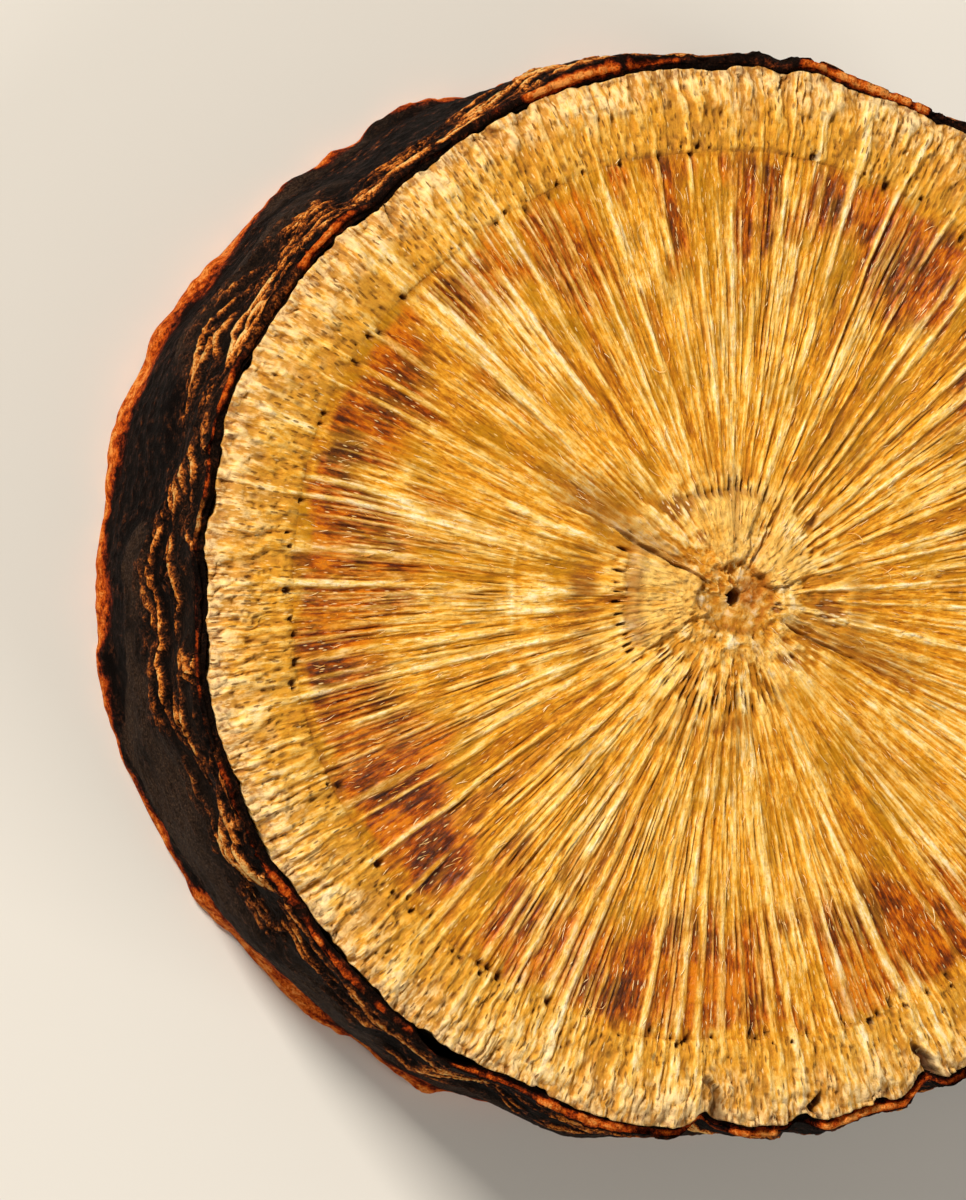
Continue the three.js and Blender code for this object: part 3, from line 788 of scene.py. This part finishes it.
def bark_reach(turn, level):
    """How far the bark reaches at a level: the slice's own outline, with wrinkles, folds and scales on it.
    Also where there is a crest, and where a scale."""
    place = (HEIGHTS[0] - level) / (HEIGHTS[0] - HEIGHTS[-1]) * (len(HEIGHTS) - 1)
    place = np.clip(place, 0, len(HEIGHTS) - 1.001)
    row = np.floor(place).astype(int)
    part = place - row
    column = turn * len(SPOTS)
    i = np.floor(column).astype(int)
    u = column - i

    def at(r, c):
        return SURVEY[np.clip(r, 0, len(HEIGHTS) - 1), c % len(SPOTS)]

    upper = at(row, i) * (1 - u) + at(row, i + 1) * u
    lower = at(row + 1, i) * (1 - u) + at(row + 1, i + 1) * u
    plain = upper * (1 - part) + lower * part
    near_rim = step(2.3, 4.0, level + 0.7 * lumps(turn, 3, 24, 217))
    slide = turn + 0.003 * lumps(turn, level * 1.4, 70, 203)
    rise = level + 0.30 * lumps(turn, level * 0.4, 26, 201) + 0.05 * lumps(turn, level * 1.6, 120, 202)
    broad = swell(slide, rise, 3.6, 0.62, 1.0)
    wander = rise + 0.42 * swell(slide, level, 11, 0.9, 5.0) + 0.14 * swell(slide, level, 36, 2.4, 15.0)
    width = 1 + 0.7 * swell(slide, level, 18, 1.0, 11.0) + 0.6 * swell(slide, level, 60, 3.0, 13.0)

    def wrinkles(fine, up, seed, half):
        return crests(swell(slide, wander, fine, up, seed), half * width)

    long = wrinkles(fine=4.2, up=2.0, seed=3.0, half=0.08) * step(-0.7, -0.35, broad)
    short = wrinkles(fine=7.5, up=2.6, seed=7.0, half=0.05) * step(-0.35, 0.0, broad + 0.4 * long)
    hair = wrinkles(fine=15, up=4.4, seed=21.0, half=0.035) * step(-0.3, 0.0, broad + 0.6 * long)
    strength = 0.84 + 0.9 * swell(slide, level, 14, 1.2, 9.0)
    crest = np.clip(np.maximum.reduce([long, 0.8 * short, 0.6 * hair]) * strength, 0, 1)
    scale = step(-0.03, 0.05, lumps(slide, level * 0.8, 24, 209))
    nub = lumps(turn, level * 5, 260, 211)
    grit = lumps(turn, level * 9, 560, 213)
    depth = (0.10 + 0.08 * hump(degrees_apart(turn, 180), 80)) * (0.2 + 0.8 * near_rim)
    reach = plain - 0.06 + 0.22 * broad * near_rim + depth * (step(0, 1, crest) - 0.3) + 0.05 * scale
    reach = reach + 0.012 * nub + 0.008 * grit
    inside = around(ROUGH_OUTLINE, turn) + 0.09 + 0.04 * nub
    reach = np.where(level > 4.8, np.maximum(reach, inside), reach)
    crest = crest * (0.35 + 0.65 * near_rim) * (0.8 + 0.25 * lumps(turn, level, 40, 215))
    return reach, np.clip(crest, 0, 1) ** 1.2, scale * (1 - 0.8 * near_rim)


def bark_ring(reach, level, **tissue):
    """A ring of the bark. A single number stands for the whole way round."""
    radius, level = np.broadcast_arrays(reach, level)
    places = np.column_stack([*from_pith(radius, BARK_TURNS), level])
    return places, {key: np.broadcast_to(v, radius.shape) for key, v in tissue.items()}


def along_edge(cells, seed):
    """Noise between -1 and 1 along an edge of the bark, with so many lumps in the turn."""
    return lumps(BARK_TURNS, 0, cells, seed)


wall, crest, scale = bark_reach(BARK_TURNS[None, :], BARK_LEVELS[:, None])
edge = around(evened(UPPER_REACH, spread=0.5), BARK_TURNS)
foot = around(evened(LOWER_REACH, spread=0.5), BARK_TURNS)
ragged = 0.05 * along_edge(130, 221) + 0.05 * along_edge(420, 223)
chip = step(0.1, 0.6, along_edge(75, 225)) + 0.6 * step(0.3, 0.7, along_edge(260, 224))
split_off = hump(degrees_apart(BARK_TURNS, PEEL_TOWARD), PEEL_HALF)
gap = PEEL_GAP * split_off + 0.05 * step(0.2, 0.8, along_edge(48, 226))
thin = 0.9 + 0.25 * along_edge(64, 228)
at_left = hump(degrees_apart(BARK_TURNS, 180), 62)
below = hump(degrees_apart(BARK_TURNS, 268), 50)
# Rust orange of the sawn cork at the lip, varying along it; it is lowered at the left as painted shade.
shaded_rust = along_edge(52, 227) + 0.6 * along_edge(190, 230) - 0.2 * at_left + 0.5 * below
shaded_rust = step(-0.55, 0.0, shaded_rust) * (1 - 0.45 * np.minimum(chip, 1))
shaded_rust = shaded_rust * (1 - 0.65 * at_left)
shade = np.clip(0.10 + 0.55 * at_left + 0.2 * along_edge(58, 235), 0, 0.7)
rim = TOP - EDGE_DROP
inner_edge = edge - ((0.86 - 0.3 * shade) * CORK - 0.8 * gap) * thin
lip = [  # distance from the pith, level and how sawn it looks, from the hidden side over the edge to the wall
    (edge - CORK + gap - 0.09, rim - 0.60, 0.0),
    (edge - CORK + gap - 0.05, rim - 0.06 - 0.5 * split_off, 0.15),
    (edge - (0.94 * CORK - gap) * thin, rim - 0.06 + ragged - 0.08 * chip, 0.6 * (1 - shade)),
    (inner_edge, rim + 0.02 + ragged - 0.12 * chip, 0.9 - 0.6 * shade),
    (edge - (0.46 * CORK - 0.6 * gap) * thin - 0.03 * chip, rim + 0.04 + 1.2 * ragged - 0.14 * chip, 1.0),
    (edge - (0.18 * CORK - 0.3 * gap) * thin - 0.04 * chip, rim + 0.01 + ragged - 0.13 * chip, 0.9),
    (wall[0] - 0.02, rim - 0.08, 0.2),
]
# The lip takes the crest colours at the left: rubbed cork, lightened as a painted highlight.
rubbed_and_lit = 0.15 + 0.55 * at_left * step(-0.5, 0.2, along_edge(34, 236) + 0.4 * along_edge(110, 237))
rings = [bark_ring(r, h, cut=c * (0.25 + 0.85 * shaded_rust), crest=rubbed_and_lit * c, scale=0.2) for r, h, c in lip]
flare = 0.13 + 0.13 * along_edge(44, 229) + 0.08 * along_edge(120, 231) + 0.03 * along_edge(330, 232)
frayed = 0.75 + 0.5 * along_edge(38, 233) + 0.25 * along_edge(130, 234) - 0.6 * below
frayed = np.maximum(frayed, 0.1)
# Orange near the floor is the sawn lower cut of the cork, and partly a painted glow standing in for light
# from behind.
for k, h in enumerate(BARK_LEVELS):
    out = flare * hump(h - 0.25, 0.5)
    cut = 0.95 * (1 - step(0.25 * frayed, 1.15 * frayed, h))
    rings.append(bark_ring(wall[k] + out, h, cut=np.clip(cut, 0, 1), crest=crest[k], scale=scale[k]))
sole = [(foot + 0.8 * flare, 0.15, 1.0), (foot + 0.1 * flare, 0.05, 0.9), (foot - CORK - 0.07, 0.03, 0.6)]
rings += [bark_ring(r, h, cut=c, crest=0.1, scale=0.5) for r, h, c in sole]
rings += [
    wall_ring(rings[-1], BARK_COLUMNS // 2, inward=0.0, level=0.4),
    wall_ring(rings[-1], BARK_COLUMNS // 4, inward=0.0, level=3.0),
    wall_ring(rings[0], BARK_COLUMNS // 2, inward=0.0, level=5.0),
]
bark = skin("bark", rings)
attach(bark, "root")
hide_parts("root_slice")

hide = Recipe("dry_bark")
body = hide.node("TexCoord", out=3)
grain_place = hide.vector("MULTIPLY", body, (1, 1, 1.5))
mottle = hide.noise(body, 0.7 / MM, 3.0, 0.6)
coarse = hide.noise(grain_place, 4.2 / MM, 4.0, 0.65)
fine = hide.noise(grain_place, 17 / MM, 3.0, 0.7)
grit = hide.times(hide.spread(fine, 0.36, 0.64, -1.0, 1.0), 0.13)
height = hide.plus(hide.tissue("crest"), grit)
height = hide.plus(height, hide.spread(coarse, 0.36, 0.64, -0.24, 0.14))
# Colour by the height of the crests: near black in the furrows is painted shade, and the pale top of the ramp
# is a painted highlight over the rust orange of rubbed crests.
colour = hide.ramp(height, [
    (0.0, paint(8, 3, 1)), (0.16, paint(34, 17, 8)), (0.30, paint(82, 40, 16)),
    (0.42, paint(166, 82, 26)), (0.56, paint(240, 142, 50)), (0.80, paint(255, 208, 126)),
])
plate = hide.ramp(hide.spread(fine, 0.36, 0.66), [
    (0.0, paint(24, 14, 9)), (0.5, paint(52, 36, 26)), (1.0, paint(88, 66, 48)),
])
dusty = hide.times(hide.tissue("scale"), hide.spread(mottle, 0.38, 0.56, 0.15, 0.85))
colour = hide.mix(dusty, colour, plate)
cut = hide.plus(hide.tissue("cut"), hide.spread(coarse, 0.36, 0.60, -0.36, 0.12))
cut = hide.plus(cut, hide.spread(mottle, 0.40, 0.60, -0.14, 0.0))
cut = hide.plus(cut, hide.spread(fine, 0.36, 0.64, -0.12, 0.12))
sawn = hide.ramp(cut, [
    (0.10, paint(26, 8, 2)), (0.32, paint(86, 26, 6)), (0.54, paint(172, 62, 10)),
    (0.78, paint(222, 104, 24)), (1.0, paint(246, 156, 72)),
])
colour = hide.mix(hide.spread(hide.tissue("cut"), 0.05, 0.45), colour, sawn)
# Near black where the fine bump sinks: painted shade in its hollows.
colour = hide.mix(hide.spread(fine, 0.34, 0.44, 0.5, 0.0), colour, paint(6, 3, 2))
relief = hide.plus(hide.times(fine, 0.9), hide.times(coarse, 1.0))
hide.put(hide.shader.inputs["Specular IOR Level"], 0.05)
hide.finish(bark, colour, hide.spread(coarse, 0.3, 0.7, 0.85, 0.6), relief, 0.13)

# Torn fibres
# The saw pulled slivers and single fibres out of the wood. They lie along the grain, dry and cream coloured,
# with their ends a little up, and a few have curled.
FIBRES = 3000
KNOTS = 6  # points along a fibre
SIDES = 3
SUNK = 0.006  # how deep the foot of a fibre sits in the wood
CURLED = 0.008  # share of the fibres that have curled
rng = np.random.default_rng(12)
root_turn = rng.random(FIBRES)
root_reach = np.sqrt(rng.uniform(0.10 ** 2, CAMBIUM ** 2, FIBRES))
curled = rng.random(FIBRES) < CURLED
length = np.where(curled, rng.uniform(0.25, 0.55, FIBRES), rng.uniform(0.08, 0.36, FIBRES))
curl = np.where(curled, rng.normal(0, 1.9, FIBRES), rng.normal(0, 0.3, FIBRES))
lift = np.where(curled, rng.uniform(0.04, 0.14, FIBRES), rng.uniform(0.0, 0.035, FIBRES))
thick = rng.uniform(0.004, 0.010, FIBRES)
heading = rng.normal(0, 0.16, FIBRES) + np.pi * (rng.random(FIBRES) < 0.4)

# Where each fibre runs: it starts at its root, and bends away from its heading from knot to knot.
along = np.arange(KNOTS) / (KNOTS - 1)
turned = heading[:, None] + curl[:, None] * along ** 1.5
stride = length[:, None] / (KNOTS - 1)
outward = np.cumsum(stride * np.cos(turned), 1) - stride * np.cos(turned[:, :1])
sideways = np.cumsum(stride * np.sin(turned), 1) - stride * np.sin(turned[:, :1])
far = radius_at(root_turn, root_reach)[:, None]
knot_turn = root_turn[:, None] + sideways / far / TURN
knot_reach = root_reach[:, None] * (1 + outward / far)
height = grain_of_face(knot_turn, knot_reach)[0] - SUNK + lift[:, None] * np.sin(along * 2.0)
way = bent(knot_turn, knot_reach)
spine = np.stack([*from_pith(radius_at(way, knot_reach), way), TOP + height], 2)
toward = way * TURN + turned
across = np.stack([-np.sin(toward), np.cos(toward), np.zeros(way.shape)], 2)

# Its skin: a thin tube round the knots, thickest in the middle and closed at both ends.
girth = thick[:, None] * np.sqrt(1.03 - (2 * along - 1) ** 2)
roll = (np.arange(SIDES) / SIDES + 0.25) * TURN
places = spine[:, :, None, :] + (girth[:, :, None] * np.cos(roll))[..., None] * across[:, :, None, :]
places[..., 2] += 0.8 * girth[:, :, None] * np.sin(roll)
first = (np.arange(FIBRES) * KNOTS * SIDES)[:, None, None]
knot, side = np.arange(KNOTS - 1)[None, :, None], np.arange(SIDES)[None, None, :]
low, high = first + knot * SIDES + side, first + knot * SIDES + (side + 1) % SIDES
faces = np.stack([low, high, high + SIDES, low + SIDES], -1).reshape(-1, 4).tolist()
ends = first[:, :, 0] + np.arange(SIDES)
faces += ends[:, ::-1].tolist() + (ends + (KNOTS - 1) * SIDES).tolist()
fibre_mesh = bpy.data.meshes.new("torn_fibres")
fibre_mesh.from_pydata((places.reshape(-1, 3) * MM).tolist(), [], faces)
torn_fibres = into_scene("torn_fibres", fibre_mesh)
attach(torn_fibres, "root")
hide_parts("root_slice")

straw = Recipe("dry_fibre")
streaky = straw.noise(straw.node("TexCoord", out=3), 2.5 / MM, 2.0)
straw_tone = straw.ramp(streaky, [(0.40, paint(232, 166, 62)), (0.62, paint(255, 230, 172))])
straw.finish(torn_fibres, straw_tone, straw.spread(streaky, 0.3, 0.7, 0.5, 0.35), streaky, 0.01)

# Floor, light and camera
# The slice lies on a plain pale floor in soft light, and the camera looks almost straight down on it.
FLOOR = 2.0  # metres from its middle to a side
floor_corners = [(-FLOOR, -FLOOR, 0), (FLOOR, -FLOOR, 0), (FLOOR, FLOOR, 0), (-FLOOR, FLOOR, 0)]
floor_mesh = bpy.data.meshes.new("floor")
floor_mesh.from_pydata(floor_corners, [], [(0, 1, 2, 3)])
floor = into_scene("floor", floor_mesh)
card = Recipe("pale_card")
card.put(card.shader.inputs["Base Color"], paint(222, 217, 208))
card.put(card.shader.inputs["Roughness"], 0.85)
floor_mesh.materials.append(card.material)

world = bpy.data.worlds.new("studio")
bpy.context.scene.world = world
world.use_nodes = True
sky = world.node_tree.nodes["Background"].inputs
sky["Color"].default_value = (1.0, 0.975, 0.94, 1.0)
sky["Strength"].default_value = 0.22


def lamp(name, place, size, power, colour):
    """A soft square lamp that faces the slice. Its place is in centimetres."""
    light = bpy.data.lights.new(name, "AREA")
    light.size, light.energy, light.color = size, power, colour
    made = into_scene(name, light)
    made.location = Vector(place) * 0.01
    made.rotation_euler = made.location.to_track_quat("Z", "Y").to_euler()


lamp("key", (-26, 26, 28), size=0.10, power=2.7, colour=(1.0, 0.95, 0.88))
lamp("fill", (36, -30, 30), size=0.3, power=1.1, colour=(1.0, 0.97, 0.93))
lamp("rim", (-34, -8, 7), size=0.12, power=0.30, colour=(1.0, 0.85, 0.68))

PHOTO_LONG_SIDE = 1200
FOCAL_PIXELS = 10551.6
TILT = np.radians(22)  # away from straight down
CAMERA_FROM_PITH = (-87.246, -0.063, 208.028)  # in millimetres
camera_data = bpy.data.cameras.new("camera")
camera_data.sensor_width = 36.0
camera_data.lens = camera_data.sensor_width * FOCAL_PIXELS / PHOTO_LONG_SIDE
camera_data.clip_start, camera_data.clip_end = 0.01, 20.0
camera = into_scene("camera", camera_data)
camera_place = Matrix.Translation(Vector((PITH + CAMERA_FROM_PITH) * MM))
camera.matrix_world = camera_place @ Matrix.Rotation(-TILT, 4, "Y")
bpy.context.scene.camera = camera
bpy.context.scene.view_settings.view_transform = "Standard"
